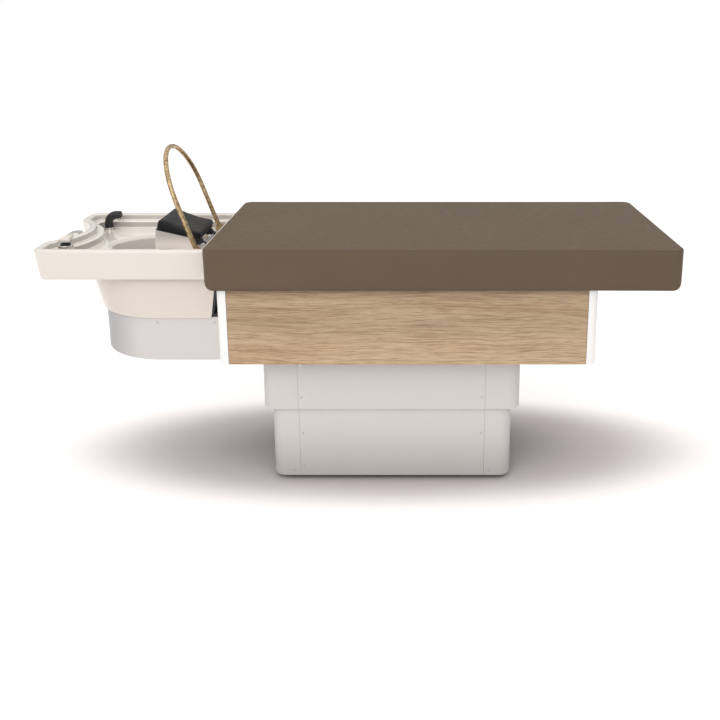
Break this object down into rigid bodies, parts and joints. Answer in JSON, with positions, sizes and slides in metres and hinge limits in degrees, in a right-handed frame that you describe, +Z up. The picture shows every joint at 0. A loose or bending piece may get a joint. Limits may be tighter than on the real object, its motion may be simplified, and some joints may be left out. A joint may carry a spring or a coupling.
{
  "type": "hair washing bed",
  "caption": "Height-adjustable hair washing bed: padded top, wood-sided frame on a telescopic pedestal, tilting basin with water arch, mixer tap, hand shower and neck rest.",
  "frame": {"origin": "on the floor under the middle of the whole bed", "axes": "+X from the basin towards the foot end, +Y away from the side with the mixer tap, +Z up"},
  "size_m": [2.0588, 0.75, 1.1214],
  "materials": {
    "dark_steel": "satin",
    "pad_rubber": "matte",
    "screw_steel": "satin",
    "cover_paint": "satin",
    "shroud_paint": "satin",
    "column_metal": "satin",
    "black_plastic": "matte",
    "frame_paint": "satin",
    "side_wood": "satin",
    "end_white": "satin",
    "board_wood": "matte",
    "mattress_leather": "satin",
    "black_metal": "satin",
    "pin_steel": "satin",
    "basin_white": "gloss",
    "shell_white": "satin",
    "chrome": "polished",
    "trap_white": "matte",
    "brass": "satin",
    "pad_black": "matte",
    "shower_black": "matte"
  },
  "bodies": {
    "base": {"base_frame": "dark_steel", "base_pads": "pad_rubber", "lower_cover_front": "cover_paint", "lower_cover_back": "cover_paint", "lower_cover_head": "cover_paint", "lower_cover_foot": "cover_paint", "lower_cover_screws": "screw_steel", "lower_seam_strips": "cover_paint", "column_outer_head": "column_metal", "column_outer_foot": "column_metal", "lift_motor_head": "black_plastic", "lift_motor_foot": "black_plastic", "control_box": "black_plastic", "power_inlet": "black_plastic"},
    "lift_stage_head": {"column_middle_head": "column_metal"},
    "lift_stage_foot": {"column_middle_foot": "column_metal"},
    "bed_top": {"column_inner_head": "column_metal", "column_inner_foot": "column_metal", "top_frame": "frame_paint", "upper_cover_front": "cover_paint", "upper_cover_back": "cover_paint", "upper_cover_head": "cover_paint", "upper_cover_foot": "cover_paint", "upper_cover_screws": "screw_steel", "upper_seam_strips": "cover_paint", "side_panel_front": "side_wood", "side_panel_back": "side_wood", "end_panel_head": "end_white", "end_panel_foot": "end_white", "mattress_board": "board_wood", "mattress": "mattress_leather", "basin_shroud": "shroud_paint", "shroud_strips": "shroud_paint", "shroud_screws": "screw_steel", "tilt_bracket": "black_metal", "tilt_pins": "pin_steel"},
    "basin_unit": {"basin": "basin_white", "basin_shell": "shell_white", "tilt_carrier": "black_metal", "drain_flange": "chrome", "drain_nut": "black_plastic", "drain_trap": "trap_white", "arch_socket_front": "brass", "arch_socket_back": "brass", "arch_pins": "brass", "pad_rod": "pin_steel", "mixer_body": "chrome", "mixer_nut": "brass", "shower_holder": "chrome"},
    "neck_rest": {"neck_pad_plate": "black_plastic", "neck_pad": "pad_black", "pad_hooks": "black_plastic"},
    "arch_unit": {"water_arch": "brass"},
    "tap_swivel": {"mixer_cartridge": "black_plastic", "lever_pin": "pin_steel"},
    "tap_lever": {"mixer_lever": "chrome"},
    "shower_unit": {"hand_shower": "shower_black", "spray_face": "chrome"},
    "strainer_unit": {"hair_strainer": "chrome"}
  },
  "joints": [
    {"name": "bed_lift", "type": "slide", "parent": "base", "child": "bed_top", "axis": [0, 0, 1], "range_m": [-0.2, 0.05]},
    {"name": "stage_slide_head", "type": "slide", "parent": "base", "child": "lift_stage_head", "axis": [0, 0, 1], "range_m": [-0.1, 0.025]},
    {"name": "stage_slide_foot", "type": "slide", "parent": "base", "child": "lift_stage_foot", "axis": [0, 0, 1], "range_m": [-0.1, 0.025]},
    {"name": "basin_tilt", "type": "hinge", "parent": "bed_top", "child": "basin_unit", "pos_m": [-0.449, 0, 0.7], "axis": [0, -1, 0], "range_deg": [0, 3]},
    {"name": "neck_rest_flip", "type": "hinge", "parent": "basin_unit", "child": "neck_rest", "pos_m": [-0.525, 0, 0.789], "axis": [0, 1, 0], "range_deg": [0, 45]},
    {"name": "arch_swing", "type": "hinge", "parent": "basin_unit", "child": "arch_unit", "pos_m": [-0.526, 0, 0.791], "axis": [0, 1, 0], "range_deg": [-45, 25]},
    {"name": "tap_turn", "type": "hinge", "parent": "basin_unit", "child": "tap_swivel", "pos_m": [-0.948, -0.196, 0.819], "axis": [0, 0, 1], "range_deg": [-50, 50]},
    {"name": "tap_lift", "type": "hinge", "parent": "tap_swivel", "child": "tap_lever", "pos_m": [-0.948, -0.196, 0.832], "axis": [0, -1, 0], "range_deg": [0, 20]},
    {"name": "shower_lift", "type": "slide", "parent": "basin_unit", "child": "shower_unit", "axis": [0, 0, 1], "range_m": [0, 0.15]},
    {"name": "strainer_lift", "type": "slide", "parent": "basin_unit", "child": "strainer_unit", "axis": [0, 0, 1], "range_m": [0, 0.05]}
  ],
  "couplings": [
    {"joint": "stage_slide_head", "follows": "bed_lift", "ratio": 0.5},
    {"joint": "stage_slide_foot", "follows": "bed_lift", "ratio": 0.5}
  ]
}
